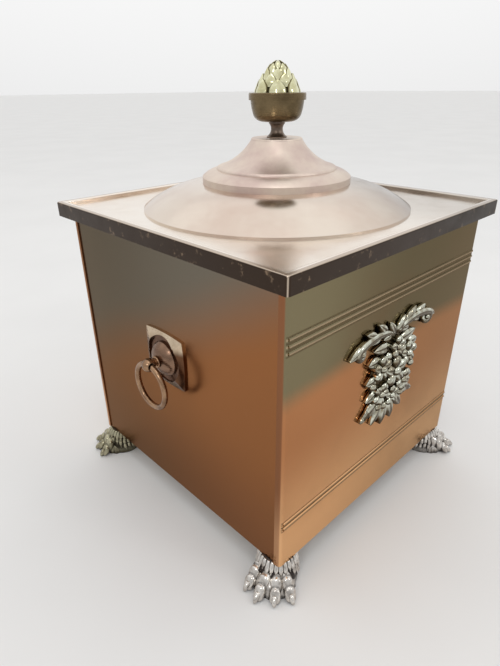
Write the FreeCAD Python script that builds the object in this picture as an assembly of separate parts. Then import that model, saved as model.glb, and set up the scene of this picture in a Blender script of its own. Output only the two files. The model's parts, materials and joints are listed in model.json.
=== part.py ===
import FreeCAD, Part
import math
import os

# A square brass coal bin: a folded sheet body on cast paw feet, a lift-off lid with a spun dome and a
# leaf bud finial, a ring handle on two sides and a cast scroll crest on the front.
# Millimetres, Z up, front towards -Y, origin on the floor under the middle of the body.

# Body sheet work
body_width = 308.0  # over the folded corners, along X and along Y
body_height = 286.0  # from the underside of the base to the mouth
sheet = 1.2  # brass sheet of the body and the lid
bend_radius = 2.8  # inside of a folded corner
seam_lap = 3.0  # flat strip of a fold that laps a side panel
fold_gap = 0.2  # solder room between pieces of the body
overrun = 2.0  # how far every cut runs past the piece it cuts

# Reeds rolled into the front panel
reed_width = 3.4
reed_height = 1.1
reed_pitch = 5.8
upper_reeds = 3
upper_reed_drop = 50.0  # mouth to the first upper reed
lower_reeds = 2
lower_reed_rise = 46.5  # underside of the base to the first lower reed

# Base, mouth and liner
base_lip = 14.0
band_thickness = 2.5
band_height = 16.0
band_drop = 17.0  # mouth to the top of the mouth band
liner_sheet = 1.0
liner_gap = 13.0  # side panel to the liner wall
liner_corner = 14.0
liner_rim_gap = 2.6  # side panel to the middle of the liner's rolled rim
liner_rim_radius = 2.0
liner_floor_gap = 8.0

# Paw feet
foot_height = 31.0
foot_reach = 43.0  # ankle axis to the tips of the middle toes
toe_overhang = 20.0  # middle toe tips beyond the corner, along the diagonal
toe_radius = 8.4
toe_count = 4
toe_fan = 68.0  # degrees from the first toe to the last
foot_turn = 13.0  # degrees that the toes are turned sideways from the diagonal of the bin
ankle_radius = 16.0
instep_radius = 16.0
fur_radius = 2.6
fur_count = 13
claw_radius = 3.2
foot_screw_radius = 2.5
foot_screw_depth = 16.0
screw_head_radius = 5.0
screw_head_height = 3.0

# Ring handles
handle_rise = 162.0  # underside of the base to the middle of the handle plate
plate_width = 60.0
plate_height = 56.0
plate_thickness = 5.5
plate_edge = 2.0  # thickness at the rim of the plate
plate_bevel = 9.0
plate_bow = 1.8  # rise of each curved side of the plate
dish_radius = 24.4  # round hollow in the plate
dish_depth = 3.1
boss_radius = 18.0
boss_height = 9.4
boss_edge = 2.0
boss_top_radius = 7.0
collar_radius = 6.2
collar_length = 2.6
ball_radius = 6.8
ring_radius = 22.8  # to the middle of the wire
wire_radius = 2.9
eye_clearance = 0.4
shank_radius = 3.0
washer_radius = 8.0
washer_thickness = 1.4
nut_radius = 5.8  # across the corners, halved
nut_height = 4.6
thread_clearance = 0.05
shank_clearance = 0.3
shank_end = 1.6  # shank beyond its nut

# Crest on the front panel
crest_rise = 150.0  # underside of the base to the middle of the crest
crest_width = 148.0
crest_height = 122.0
crest_depth = 11.0
scroll_radius = 4.8
petal_radius = 7.0
crest_pin_radius = 2.0
crest_pin_spacing = 52.0
crest_nut_radius = 4.4
crest_nut_height = 3.2

# Lid
lid_overhang = 11.0  # lid beyond the body on each side
lid_skirt = 14.6  # full height of the dark edge
lid_bead_width = 8.0
lid_bead_rise = 3.6
lid_bend = 1.8  # inside of a lid corner
lid_round = 1.4  # rounding of the raised edge
lid_clearance = 1.2  # locating frame to the inside of the mouth
lid_frame_depth = 10.0
lid_frame_sheet = 1.6
dome_radius = 137.0
dome_edge = 0.5  # inside height of the dome's turned-down edge
dome_rise = 23.8  # lid plate to the seat of the bell
dome_lap = 8.0  # how far the lid plate runs in under the dome
bell_radius = 75.6
bell_lap = 6.0
bell_margin = 1.2  # flat of the dome that shows outside the bell
bell_band = 6.0
bell_step_radius = 61.0
bell_step_height = 12.8
bell_step = 2.8  # round bead where the flare meets the foot of the bell
bell_top_radius = 25.8
bell_height = 42.0
bell_shoulder = 2.0

# Finial
stem_height = 14.0
stem_foot_radius = 10.1
stem_waist_radius = 5.9
stem_head_radius = 8.0
stem_edge = 1.0
cup_height = 26.2
cup_base_radius = 14.0
cup_base_rise = 0.6
cup_turn_radius = 23.4
cup_turn_height = 6.4
cup_belly_radius = 26.0
cup_rim_radius = 27.8
cup_lip = 6.4
cup_lip_round = 1.2
cup_recess_radius = 24.2
cup_recess_depth = 4.6
bud_clearance = 0.4
bud_height = 32.0
leaf_width = 15.5
leaf_height = 14.0
leaf_thickness = 4.0
stud_radius = 3.0
stud_depth = 14.0  # into the bud

# Levels and half sizes that several pieces share
half_body = body_width / 2
mouth_level = foot_height + body_height
side_face = half_body - sheet  # outside of a side panel, under the folded seams
side_inside = half_body - 2 * sheet
front_inside = half_body - sheet
base_top = foot_height + sheet
band_top = mouth_level - band_drop
lid_width = body_width + 2 * lid_overhang
plate_top = mouth_level + sheet
lid_top = plate_top + lid_bead_rise
bell_seat = plate_top + dome_rise
bell_top = bell_seat + bell_height
cup_seat = bell_top + stem_height
bud_seat = cup_seat + cup_height - cup_recess_depth
handle_level = foot_height + handle_rise
crest_level = foot_height + crest_rise
boss_seat = plate_thickness - dish_depth
ball_centre = boss_seat + boss_height + collar_length + ball_radius
eye_radius = wire_radius + ball_radius ** 2 / (2 * ring_radius) + eye_clearance
ankle_inset = foot_reach - toe_overhang  # corner to ankle axis, along the diagonal
corner_signs = {"front_left": (-1, -1), "front_right": (1, -1), "back_left": (-1, 1), "back_right": (1, 1)}

# Shapes of the cast pieces, chosen by eye as shares of the sizes that carry them
dome_bulge_share = 0.07
bell_ovolo_share = 0.09
bell_bead_share = 0.2
collar_round_share = 0.98
boss_swell_share = 0.10
toe_length_shares = (0.82, 1.0, 1.02, 0.93)
toe_start_share = 0.26
toe_top_share = 0.74
toe_tip_share = 0.24
toe_girth_shares = (0.72, 1.0, 0.80, 0.98, 0.74)
claw_girth_shares = (0.8, 1.0, 0.55)
claw_start_shares = (-1.0, 0.5)
claw_tip_shares = (0.1, -0.76)
ankle_swell_shares = (0.98, 0.92, 1.0)
instep_girth_shares = (0.70, 1.0, 1.04, 0.82)
instep_heel_share = 0.36
instep_toe_share = 0.68
instep_level_share = 0.36
fur_girth_shares = (0.7, 1.0, 0.6)
fur_spread_share = 0.5
fur_foot_share = 0.30
fur_fan_share = 0.66
scroll_lift_share = 0.62
scroll_eye_share = 1.1
wing_start_shares = (0.03, 0.33)
wing_heading = 28.0
wing_bend_shares = ((0.50, -48.0), (0.045, -250.0))
leaf_end_shares = (
    ((0.03, 0.28), (0.11, 0.47)),
    ((0.12, 0.35), (0.23, 0.49)),
    ((0.06, 0.20), (0.28, 0.25)),
    ((0.10, 0.08), (0.29, 0.08)),
    ((0.10, -0.06), (0.28, -0.11)),
    ((0.06, -0.20), (0.31, -0.34)),
    ((0.02, -0.30), (0.09, -0.49)),
)
drop_end_shares = ((0.0, -0.20), (0.0, -0.50))
leaf_level_share = 0.30
crest_leaf_girth_shares = (0.7, 1.0, 0.72)
shield_shares = ((0.0, -0.46), (0.17, -0.22), (0.25, 0.08), (0.19, 0.27), (0.0, 0.33))
shield_dome_share = 1.6
shield_rise_share = 0.62
flower_petals = 6
flower_level_share = 0.60
flower_button_share = 0.72
flower_petal_share = 0.62
flower_droop_share = 0.20
middle_flower_shares = (0.0, 0.02)
middle_flower_share = 1.35
side_flower_shares = ((0.135, 0.155), (0.15, -0.075))
low_flower_shares = (0.0, -0.19)
bell_flare_share = 0.09
bell_shoulder_share = 0.2
cup_base_share = 0.15
cup_side_share = 0.03
cup_roll_share = 0.2
leaf_foot_share = 0.80
bud_core_share = 0.64
scale_row_shares = ((8, 1.18, 0.0, 20.0, 1.0), (6, 0.78, 0.26, 14.0, 0.96), (5, 0.40, 0.52, 17.0, 0.86))
leaf_side_shares = (1.04, 0.42)
leaf_round_share = 0.76
bud_bulge_share = 0.02
bud_tip_share = 0.10


def vec(x, y, z):
    return FreeCAD.Vector(x, y, z)


x_axis = vec(1, 0, 0)
y_axis = vec(0, 1, 0)
z_axis = vec(0, 0, 1)
origin = vec(0, 0, 0)


def rounded_wire(half_x, half_y, radius, level):
    """Closed outline with round corners, centred on the Z axis."""
    arcs = []
    for step, (sign_x, sign_y) in enumerate(((1, 1), (-1, 1), (-1, -1), (1, -1))):
        centre = vec(sign_x * (half_x - radius), sign_y * (half_y - radius), level)
        arcs.append(Part.makeCircle(radius, centre, z_axis, 90 * step, 90 * step + 90))
    edges = []
    for arc, following in zip(arcs, arcs[1:] + arcs[:1]):
        start = arc.valueAt(arc.LastParameter)
        end = following.valueAt(following.FirstParameter)
        edges += [arc, Part.LineSegment(start, end).toShape()]
    return Part.Wire(edges)


def rounded_block(half_x, half_y, radius, bottom, top):
    face = Part.Face(rounded_wire(half_x, half_y, radius, bottom))
    return face.extrude(vec(0, 0, top - bottom))


def rounded_frame(half_x, half_y, inner_radius, wall, bottom, top):
    """Upright band with round corners, open above and below."""
    outer = rounded_block(half_x, half_y, inner_radius + wall, bottom, top)
    inner = rounded_block(half_x - wall, half_y - wall, inner_radius, bottom - overrun, top + overrun)
    return outer.cut(inner)


def turned(start, *steps):
    """Solid turned about Z from an outline of (radius, level) points; a pair of points is an arc."""
    edges = []
    here = start
    for step in steps + (start,):
        if isinstance(step[0], tuple):
            middle, end = step
            curve = Part.Arc(vec(here[0], 0, here[1]), vec(middle[0], 0, middle[1]), vec(end[0], 0, end[1]))
        else:
            end = step
            curve = Part.LineSegment(vec(here[0], 0, here[1]), vec(end[0], 0, end[1]))
        edges.append(curve.toShape())
        here = end
    return Part.Face(Part.Wire(edges)).revolve(origin, z_axis, 360)


def bowed_point(start, end, bulge):
    """Middle of an arc from start to end that swells to the left of its chord by a share of its length."""
    middle_x = (start[0] + end[0]) / 2 - bulge * (end[1] - start[1])
    middle_y = (start[1] + end[1]) / 2 + bulge * (end[0] - start[0])
    return (middle_x, middle_y)


def spindle(start, end, radius, girth_shares):
    """Closed round form along a line, with its girth at even steps given as shares of a radius."""
    length = start.distanceToPoint(end)
    step = length / (len(girth_shares) + 1)
    points = [origin]
    for place, share in enumerate(girth_shares):
        points.append(vec(radius * share, 0, step * (place + 1)))
    points.append(vec(0, 0, length))
    side = Part.BSplineCurve()
    side.interpolate(Points=points, InitialTangent=x_axis, FinalTangent=vec(-1, 0, 0))
    core = Part.LineSegment(points[-1], origin)
    form = Part.Face(Part.Wire([side.toShape(), core.toShape()])).revolve(origin, z_axis, 360)
    form.Placement = FreeCAD.Placement(start, FreeCAD.Rotation(z_axis, end - start))
    return form


def joined(pieces):
    whole = pieces[0].multiFuse(pieces[1:])
    return whole.removeSplitter()


def hex_nut(radius, height, hole_radius, base, direction):
    """Plain six-sided nut that stands on base."""
    points = [vec(radius * math.cos(math.radians(60 * i)), radius * math.sin(math.radians(60 * i)), 0)
              for i in range(7)]
    nut = Part.Face(Part.makePolygon(points)).extrude(vec(0, 0, height))
    nut = nut.cut(Part.makeCylinder(hole_radius, height + 2 * overrun, vec(0, 0, -overrun)))
    nut.Placement = FreeCAD.Placement(base, FreeCAD.Rotation(z_axis, direction))
    return nut


# Body

def folded_panel(sign):
    """Sheet across the front (-1) or the back (1), with its corners folded round onto the sides."""
    shell = rounded_frame(half_body, half_body, bend_radius, sheet, foot_height, mouth_level)
    depth = bend_radius + sheet + seam_lap
    keep = Part.makeBox(body_width + 2 * overrun, depth + overrun, body_height + 2 * overrun)
    near = -half_body - overrun if sign < 0 else half_body - depth
    keep.translate(vec(-half_body - overrun, near, foot_height - overrun))
    return shell.common(keep)


def reed(level):
    """Rounded rib across the flat of the front panel."""
    bar_radius = (reed_width ** 2 / 4 + reed_height ** 2) / (2 * reed_height)
    half_length = half_body - bend_radius - sheet
    start = vec(-half_length, -half_body - reed_height + bar_radius, level)
    bar = Part.makeCylinder(bar_radius, 2 * half_length, start, x_axis)
    keep = Part.makeBox(body_width, reed_height + sheet / 2, 2 * bar_radius)
    keep.translate(vec(-half_body, -half_body - reed_height, level - bar_radius))
    return bar.common(keep)


def front_panel():
    levels = [mouth_level - upper_reed_drop - reed_pitch * i for i in range(upper_reeds)]
    levels += [foot_height + lower_reed_rise + reed_pitch * i for i in range(lower_reeds)]
    panel = joined([folded_panel(-1)] + [reed(level) for level in levels])
    for pin in crest_pins():
        panel = panel.cut(crest_hole(pin))
    return panel


def side_panel(sign):
    """Flat sheet tucked under the folds of the front and back panels."""
    half_depth = half_body - bend_radius - sheet - fold_gap
    panel = Part.makeBox(sheet, 2 * half_depth, body_height)
    panel.translate(vec(side_face - sheet, -half_depth, foot_height))
    hole = Part.makeCylinder(shank_radius + shank_clearance, sheet + 2 * overrun,
                             vec(side_inside - overrun, 0, handle_level), x_axis)
    return turned_to_side(panel.cut(hole), sign)


def turned_to_side(shape, sign):
    """Right-hand pieces stay, left-hand ones go half a turn round the bin."""
    if sign < 0:
        shape.rotate(origin, z_axis, 180)
    return shape


def base_tray():
    half_x = side_inside - fold_gap
    half_y = front_inside - fold_gap
    radius = bend_radius + sheet
    outer = rounded_block(half_x, half_y, radius, foot_height, foot_height + base_lip)
    inner = rounded_block(half_x - sheet, half_y - sheet, radius - sheet, base_top, base_top + base_lip)
    tray = outer.cut(inner)
    for place in ankle_places():
        hole = Part.makeCylinder(foot_screw_radius + shank_clearance, sheet + 2 * overrun,
                                 place + vec(0, 0, foot_height - overrun))
        tray = tray.cut(hole)
    return tray


def mouth_band():
    return rounded_frame(side_inside - fold_gap, front_inside - fold_gap, bend_radius, band_thickness,
                         band_top - band_height, band_top)


def liner():
    """Open steel box that hangs by an out-turned, rolled rim on the mouth band."""
    half_wall = side_inside - liner_gap
    floor = base_top + liner_floor_gap
    rim_level = band_top + liner_rim_radius
    outer = rounded_block(half_wall, half_wall, liner_corner, floor, rim_level)
    inner = rounded_block(half_wall - liner_sheet, half_wall - liner_sheet, liner_corner - liner_sheet,
                          floor + liner_sheet, rim_level + overrun)
    half_rim = side_inside - liner_rim_gap
    rim_corner = liner_corner + half_rim - half_wall
    flange = rounded_block(half_rim, half_rim, rim_corner, rim_level - liner_sheet / 2, rim_level)
    path = rounded_wire(half_rim, half_rim, rim_corner, rim_level)
    ring = Part.Wire(Part.makeCircle(liner_rim_radius, vec(half_rim, 0, rim_level), y_axis))
    bead = path_sweep(path, ring)
    return joined([outer, flange, bead]).cut(inner)


def path_sweep(path, section):
    return path.makePipeShell([section], True, False)


# Feet

def ankle_places():
    inset = ankle_inset / math.sqrt(2)
    return [vec(x * (half_body - inset), y * (half_body - inset), 0) for x, y in corner_signs.values()]


def toe(place):
    """One toe: two knuckles that fall to the floor, and a claw that hugs the tip."""
    turn = math.radians(toe_fan * (place / (toe_count - 1) - 0.5))
    along = vec(math.cos(turn), math.sin(turn), 0)
    start = along * (foot_reach * toe_start_share) + vec(0, 0, foot_height * toe_top_share)
    tip = along * (foot_reach * toe_length_shares[place]) + vec(0, 0, foot_height * toe_tip_share)
    digit = spindle(start, tip, toe_radius, toe_girth_shares)
    claw_ends = [tip + along * (toe_radius * ahead) + vec(0, 0, toe_radius * above)
                 for ahead, above in (claw_start_shares, claw_tip_shares)]
    return [digit, spindle(*claw_ends, claw_radius, claw_girth_shares)]


def fur_lock(place):
    """One lock of fur that runs from the ankle down towards the toes."""
    turn = math.radians(360 * fur_fan_share * (place / (fur_count - 1) - 0.5))
    along = vec(math.cos(turn), math.sin(turn), 0)
    top = along * ankle_radius * ankle_swell_shares[0] + vec(0, 0, foot_height + fur_radius)
    foot = along * (ankle_radius + fur_radius * fur_spread_share) + vec(0, 0, foot_height * fur_foot_share)
    return spindle(top, foot, fur_radius, fur_girth_shares)


def paw():
    """Lion paw with its ankle on the Z axis and its toes towards +X, flat above and below."""
    levels = (foot_height, foot_height / 2, 0)
    top, waist, sole = [(ankle_radius * share, level) for share, level in zip(ankle_swell_shares, levels)]
    ankle = turned((0, sole[1]), sole, (waist, top), (0, top[1]))
    heel = vec(-foot_reach * instep_heel_share, 0, foot_height * instep_level_share)
    ball = vec(foot_reach * instep_toe_share, 0, foot_height * instep_level_share)
    pieces = [ankle, spindle(heel, ball, instep_radius, instep_girth_shares)]
    for place in range(toe_count):
        pieces += toe(place)
    for place in range(fur_count):
        pieces.append(fur_lock(place))
    room = foot_reach + toe_radius
    keep = Part.makeBox(2 * room, 2 * room, foot_height, vec(-room, -room, 0))
    hole = Part.makeCylinder(foot_screw_radius + thread_clearance, foot_screw_depth + overrun,
                             vec(0, 0, foot_height - foot_screw_depth))
    return joined(pieces).common(keep).cut(hole)


def placed_paw(shape, signs):
    # both feet of a side turn away from the middle, so the turn changes sense from corner to corner
    turn = math.degrees(math.atan2(signs[1], signs[0])) - foot_turn * signs[0] * signs[1]
    inset = ankle_inset / math.sqrt(2)
    copy = shape.copy()
    copy.Placement = FreeCAD.Placement(
        vec(signs[0] * (half_body - inset), signs[1] * (half_body - inset), 0),
        FreeCAD.Rotation(z_axis, turn))
    return copy


def foot_screws():
    screws = []
    for place in ankle_places():
        head = Part.makeCylinder(screw_head_radius, screw_head_height, place + vec(0, 0, base_top))
        shank = Part.makeCylinder(foot_screw_radius, sheet + foot_screw_depth,
                                  place + vec(0, 0, base_top - sheet - foot_screw_depth))
        screws.append(head.fuse(shank).removeSplitter())
    return Part.makeCompound(screws)


# Ring handles are drawn lying on the XY plane, Z outwards, and then stood against a side panel

def on_side(shape, sign):
    stand = FreeCAD.Placement(vec(side_face, 0, handle_level), FreeCAD.Rotation(vec(1, 1, 1), 120))
    shape.Placement = stand.multiply(shape.Placement)
    return turned_to_side(shape, sign)


def bowed_outline(half_width, half_height, bow, level):
    """Four-cornered outline with gently arched sides."""
    corners = [vec(x * half_width, y * half_height, level) for x, y in ((-1, -1), (1, -1), (1, 1), (-1, 1))]
    outward = [vec(0, -1, 0), x_axis, y_axis, vec(-1, 0, 0)]
    edges = []
    for i, direction in enumerate(outward):
        start, end = corners[i], corners[(i + 1) % len(corners)]
        middle = (start + end) * 0.5 + direction * bow
        edges.append(Part.Arc(start, middle, end).toShape())
    return Part.Wire(edges)


def handle_plate(sign):
    half_width, half_height = plate_width / 2 - plate_bow, plate_height / 2 - plate_bow
    foot = bowed_outline(half_width, half_height, plate_bow, 0)
    rim = bowed_outline(half_width, half_height, plate_bow, plate_edge)
    face = bowed_outline(half_width - plate_bevel, half_height - plate_bevel, plate_bow, plate_thickness)
    slab = Part.Face(foot).extrude(vec(0, 0, plate_edge))
    crown = Part.makeLoft([rim, face], True, True)
    dish = Part.makeCylinder(dish_radius, dish_depth + overrun, vec(0, 0, boss_seat))
    hole = Part.makeCylinder(shank_radius + shank_clearance, plate_thickness + 2 * overrun,
                             vec(0, 0, -overrun))
    return on_side(joined([slab, crown]).cut(dish).cut(hole), sign)


def handle_boss(sign):
    low = boss_seat
    high = low + boss_height
    rim = (boss_radius, low + boss_edge)
    crown = (boss_top_radius, high)
    swell = bowed_point(rim, crown, -boss_swell_share)
    hole = shank_radius + shank_clearance
    boss = turned((hole, low), (boss_radius, low), rim, (swell, crown), (hole, high))
    return on_side(boss, sign)


def handle_post(sign):
    """Shank, collar and ball in one turning, with an eye through the ball for the ring."""
    seat = boss_seat + boss_height
    inner_end = -sheet - washer_thickness - nut_height - shank_end
    shank = Part.makeCylinder(shank_radius, seat - inner_end, vec(0, 0, inner_end))
    collar = Part.makeCylinder(collar_radius, collar_length, vec(0, 0, seat))
    neck = Part.makeCylinder(shank_radius + shank_clearance, collar_length + ball_radius, vec(0, 0, seat))
    ball = Part.makeSphere(ball_radius, vec(0, 0, ball_centre))
    rim = collar_length / 2
    collar = collar.makeFillet(rim * collar_round_share, [e for e in collar.Edges if e.Closed])
    eye = Part.makeCylinder(eye_radius, 2 * ball_radius + 2 * overrun,
                            vec(-ball_radius - overrun, 0, ball_centre), x_axis)
    return on_side(joined([shank, collar, neck, ball]).cut(eye), sign)


def handle_ring(sign):
    ring = Part.makeTorus(ring_radius, wire_radius, vec(0, -ring_radius, ball_centre))
    return on_side(ring, sign)


def handle_washers():
    hole = Part.makeCylinder(shank_radius + shank_clearance, washer_thickness + 2 * overrun,
                             vec(0, 0, -sheet - washer_thickness - overrun))
    washer = Part.makeCylinder(washer_radius, washer_thickness, vec(0, 0, -sheet - washer_thickness))
    washer = washer.cut(hole)
    return Part.makeCompound([on_side(washer.copy(), sign) for sign in (-1, 1)])


def handle_nuts():
    seat = vec(0, 0, -sheet - washer_thickness)
    nut = hex_nut(nut_radius, nut_height, shank_radius + thread_clearance, seat, vec(0, 0, -1))
    return Part.makeCompound([on_side(nut.copy(), sign) for sign in (-1, 1)])


# The crest is drawn on the XY plane, Y up and Z outwards, and then stood against the front panel

def on_front(shape):
    stand = FreeCAD.Placement(vec(0, -half_body, crest_level), FreeCAD.Rotation(x_axis, 90))
    shape.Placement = stand.multiply(shape.Placement)
    return shape


def crest_pins():
    return [-crest_pin_spacing / 2, crest_pin_spacing / 2]


def crest_hole(offset):
    return Part.makeCylinder(crest_pin_radius + shank_clearance, sheet + reed_height + 2 * overrun,
                             vec(0, -half_body - reed_height - overrun, crest_level + offset), y_axis)


def crest_nuts():
    nuts = []
    for offset in crest_pins():
        seat = vec(0, -half_body + sheet, crest_level + offset)
        hole = crest_pin_radius + thread_clearance
        nuts.append(hex_nut(crest_nut_radius, crest_nut_height, hole, seat, y_axis))
    return Part.makeCompound(nuts)


def scroll(start, heading, bends, radius):
    """Round moulding along arcs of (radius, degrees), left turns positive, raised to stand on its back."""
    here = vec(start[0], start[1], radius * scroll_lift_share)
    angle = math.radians(heading)
    section = Part.Wire(Part.makeCircle(radius, here, vec(math.cos(angle), math.sin(angle), 0)))
    edges = []
    for bend, degrees in bends:
        left = vec(-math.sin(angle), math.cos(angle), 0) * math.copysign(bend, degrees)
        centre = here + left
        points = []
        for part in (0.5, 1):
            spin = FreeCAD.Rotation(z_axis, degrees * part)
            points.append(centre - spin.multVec(left))
        edges.append(Part.Arc(here, points[0], points[1]).toShape())
        here = points[1]
        angle += math.radians(degrees)
    moulding = path_sweep(Part.Wire(edges), section)
    eye = Part.makeSphere(radius * scroll_eye_share, centre)
    return [moulding, eye]


def flower(centre, size, petals):
    """Ring of round petals about a button."""
    level = crest_depth * flower_level_share
    forms = [Part.makeSphere(size * flower_button_share, vec(centre[0], centre[1], level))]
    for i in range(petals):
        turn = 2 * math.pi * i / petals
        place = vec(centre[0] + size * math.cos(turn), centre[1] + size * math.sin(turn), level)
        forms.append(Part.makeSphere(size * flower_petal_share, place - z_axis * size * flower_droop_share))
    return forms


def crest_point(shares):
    return (crest_width * shares[0], crest_height * shares[1])


def crest_leaf(ends):
    """Pointed leaf between two places on the crest."""
    start, tip = [vec(*crest_point(end), crest_depth * leaf_level_share) for end in ends]
    return spindle(start, tip, petal_radius, crest_leaf_girth_shares)


def shield():
    """Cushion behind the flowers, pointed below and domed by a large sphere."""
    points = [vec(*crest_point(place), 0) for place in shield_shares]
    mirrored = [vec(-point.x, point.y, 0) for point in points]
    edges = [Part.Arc(points[0], points[1], points[2]).toShape(),
             Part.Arc(points[2], points[3], points[4]).toShape(),
             Part.Arc(mirrored[4], mirrored[3], mirrored[2]).toShape(),
             Part.Arc(mirrored[2], mirrored[1], mirrored[0]).toShape()]
    slab = Part.Face(Part.Wire(edges)).extrude(vec(0, 0, crest_depth))
    dome = crest_height * shield_dome_share
    rise = crest_depth * shield_rise_share
    return slab.common(Part.makeSphere(dome, vec(0, 0, rise - dome)))


def crest_mount():
    """Scroll crest: winged volutes above flowers and leaves on a pointed shield."""
    pieces = [shield()]
    for sign in (1, -1):
        half = scroll(crest_point(wing_start_shares), wing_heading,
                      [(crest_width * share, turn) for share, turn in wing_bend_shares], scroll_radius)
        half += [crest_leaf(ends) for ends in leaf_end_shares]
        for place in side_flower_shares:
            half += flower(crest_point(place), petal_radius, flower_petals)
        if sign < 0:
            half = [piece.mirror(origin, x_axis) for piece in half]
        pieces += half
    pieces += flower(crest_point(middle_flower_shares), petal_radius * middle_flower_share, flower_petals)
    pieces += flower(crest_point(low_flower_shares), petal_radius, flower_petals)
    pieces.append(crest_leaf(drop_end_shares))
    room = max(crest_width, crest_height)
    keep = Part.makeBox(2 * room, 2 * room, room, vec(-room, -room, 0))
    crest = joined(pieces).common(keep)
    length = sheet + crest_nut_height + shank_end
    pins = [Part.makeCylinder(crest_pin_radius, length + crest_pin_radius, vec(0, offset, -length))
            for offset in crest_pins()]
    return on_front(joined([crest] + pins))


# Lid

def lid_plate():
    """Pressed tray: hollow raised edge, skirt below it, and a round hole under the dome."""
    half_lid = lid_width / 2
    corner = lid_bend + sheet
    skirt_level = lid_top - lid_skirt
    half_pocket = half_lid - lid_bead_width
    pocket = rounded_block(half_pocket, half_pocket, corner, plate_top, lid_top + overrun)
    plate = rounded_block(half_lid, half_lid, corner, skirt_level, lid_top).cut(pocket)
    rims = [edge for edge in plate.Edges if abs(edge.BoundBox.ZMin - lid_top) < sheet / 10]
    plate = plate.makeFillet(lid_round, rims)
    half_inside = half_lid - sheet
    plate = plate.cut(rounded_block(half_inside, half_inside, lid_bend, skirt_level - overrun, mouth_level))
    channel = rounded_block(half_inside, half_inside, lid_bend, mouth_level - overrun, lid_top - sheet)
    half_keep = half_pocket + sheet
    core = rounded_block(half_keep, half_keep, corner, mouth_level - 2 * overrun, lid_top + overrun)
    plate = plate.cut(channel.cut(core))
    return plate.cut(Part.makeCylinder(dome_radius - dome_lap, lid_skirt, vec(0, 0, mouth_level - overrun)))


def lid_frame():
    return rounded_frame(side_inside - lid_clearance, front_inside - lid_clearance, bend_radius,
                         lid_frame_sheet, mouth_level - lid_frame_depth, mouth_level)


def lid_dome():
    """Low spun dome, lapped on the lid plate, with a flat seat for the bell."""
    edge = (dome_radius, plate_top + dome_edge + sheet)
    seat = (bell_radius + bell_margin, bell_seat)
    inner_edge = (edge[0] - sheet, edge[1] - sheet)
    inner_seat = (seat[0] - sheet, seat[1] - sheet)
    mouth = bell_radius - bell_lap
    outside = bowed_point(edge, seat, -dome_bulge_share)
    inside = bowed_point(inner_seat, inner_edge, dome_bulge_share)
    return turned((dome_radius, plate_top), edge, (outside, seat), (mouth, bell_seat),
                  (mouth, bell_seat - sheet), inner_seat, (inside, inner_edge), (inner_edge[0], plate_top))


def bell_side(inset):
    """Outline of the bell from its band to its flat top, moved in and down by the wall for the inside."""
    band = (bell_radius - inset, bell_seat + bell_band - inset)
    step = (bell_step_radius - inset, bell_seat + bell_step_height - inset)
    flare = (step[0] - bell_step, step[1] + bell_step)
    neck = (bell_top_radius - inset, bell_top - bell_shoulder - inset)
    top = (bell_top_radius - bell_shoulder - inset, bell_top - inset)
    ovolo = bowed_point(band, step, -bell_ovolo_share)
    bead = bowed_point(step, flare, -bell_bead_share)
    hollow = bowed_point(flare, neck, bell_flare_share)
    shoulder = bowed_point(neck, top, -bell_shoulder_share)
    return band, ((ovolo, step), (bead, flare), (hollow, neck), (shoulder, top))


def lid_bell():
    band, outside = bell_side(0)
    inner_band, inside = bell_side(sheet)
    hole = stud_radius + shank_clearance
    steps = [band, *outside, (hole, bell_top), (hole, bell_top - sheet), inside[-1][1]]
    starts = [inner_band] + [end for middle, end in inside[:-1]]
    for (middle, end), start in zip(reversed(inside), reversed(starts)):
        steps.append((middle, start))
    steps.append((inner_band[0], bell_seat))
    return turned((bell_radius, bell_seat), *steps)


# Finial

def finial_stem():
    hole = stud_radius + shank_clearance
    low = (stem_foot_radius, bell_top + stem_edge)
    high = (stem_head_radius, cup_seat - stem_edge)
    waist = (stem_waist_radius, (low[1] + high[1]) / 2)
    return turned((hole, bell_top), (stem_foot_radius, bell_top), low, (waist, high),
                  (stem_head_radius, cup_seat), (hole, cup_seat))


def finial_cup():
    """Turned bucket-shaped cup with a flat lip band and a shallow seat for the bud."""
    hole = stud_radius + shank_clearance
    rim = cup_seat + cup_height
    foot = (stem_head_radius, cup_seat)
    base = (cup_base_radius, cup_seat + cup_base_rise)
    side = (cup_turn_radius, cup_seat + cup_turn_height)
    belly = (cup_belly_radius, rim - cup_lip)
    lip_side = (cup_rim_radius, rim - cup_lip_round)
    lip_top = (cup_rim_radius - cup_lip_round, rim)
    return turned((hole, cup_seat), foot, base, (bowed_point(base, side, -cup_base_share), side),
                  (bowed_point(side, belly, -cup_side_share), belly), (cup_rim_radius, belly[1]), lip_side,
                  (bowed_point(lip_side, lip_top, -cup_roll_share), lip_top),
                  (cup_recess_radius, rim), (cup_recess_radius, bud_seat), (hole, bud_seat))


def leaf(place, turn, lean, size):
    """Pointed scale: an arched outline under a sphere, leant against the bud."""
    half = leaf_width * size / 2
    height = leaf_height * size
    thick = leaf_thickness * size
    left = vec(-half * leaf_foot_share, 0, 0)
    right = vec(half * leaf_foot_share, 0, 0)
    tip = vec(0, 0, height)
    side = vec(half * leaf_side_shares[0], 0, height * leaf_side_shares[1])
    edges = [Part.LineSegment(left, right).toShape(), Part.Arc(right, side, tip).toShape(),
             Part.Arc(tip, vec(-side.x, 0, side.z), left).toShape()]
    slab = Part.Face(Part.Wire(edges)).extrude(vec(0, 2 * thick, 0))
    slab.translate(vec(0, -thick, 0))
    ball = leaf_width * size * leaf_round_share
    scale = slab.common(Part.makeSphere(ball, vec(0, thick - ball, height * leaf_side_shares[1])))
    scale.rotate(origin, x_axis, lean)
    scale.translate(vec(0, place[0], place[1]))
    scale.rotate(origin, z_axis, turn)
    return scale


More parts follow.
